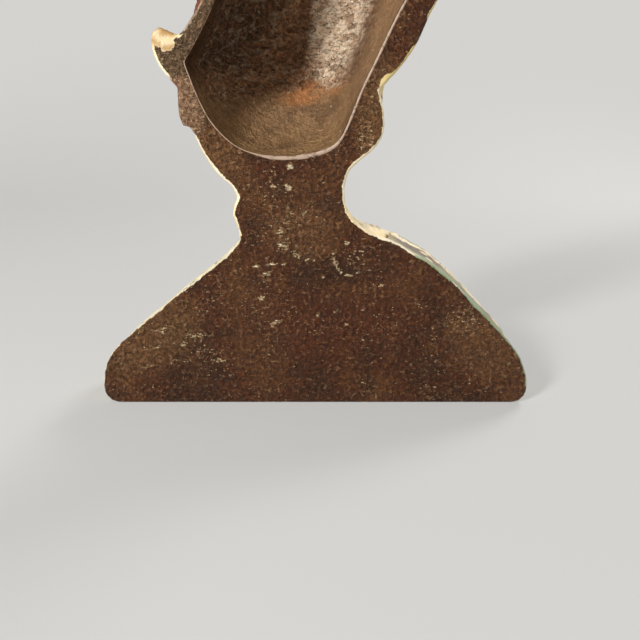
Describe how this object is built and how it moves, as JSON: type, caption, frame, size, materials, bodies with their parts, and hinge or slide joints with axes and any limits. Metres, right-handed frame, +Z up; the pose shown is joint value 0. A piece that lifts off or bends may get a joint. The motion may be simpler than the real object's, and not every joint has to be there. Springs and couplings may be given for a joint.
{
  "type": "cast iron doorstop",
  "caption": "Doorstop in the form of an upright goose on a grassy mound, cast in one piece with a flat back that is hollow behind the body.",
  "frame": {"origin": "on the ground, under the middle of the base in width and in depth", "axes": "+Z up; the painted relief faces +Y and the flat back with the hollow faces -Y; the figure looks toward +X"},
  "size_m": [0.119, 0.04, 0.2061],
  "materials": {
    "bare_iron": "rough as-cast iron, brown with old rust",
    "cream_body": "worn cream paint over iron, bare and rusty inside the hollow",
    "green_ground": "worn sage green paint over iron",
    "cream_legs": "worn cream paint over iron",
    "cream_tail": "thick cream paint, brushed over the edge",
    "ochre_bill": "worn ochre paint over iron",
    "black_eye": "glossy black paint",
    "red_wing": "worn red-brown paint over iron",
    "grass_green": "worn leaf green paint over iron"
  },
  "bodies": {
    "root": {"back_plate": "bare_iron", "body_shell": "cream_body", "ground_mound": "green_ground", "near_thigh": "cream_legs", "far_thigh": "cream_legs", "near_shank": "cream_legs", "far_shank": "cream_legs", "near_foot": "cream_legs", "far_foot": "cream_legs", "tail": "cream_tail", "neck": "cream_body", "head": "cream_body", "upper_bill": "ochre_bill", "lower_bill": "ochre_bill", "eye": "black_eye", "wing_shoulder": "red_wing", "upper_coverts": "red_wing", "lower_coverts": "red_wing", "flight_feathers": "red_wing", "grass_left": "grass_green", "grass_middle": "grass_green", "grass_right": "grass_green"}
  },
  "joints": []
}
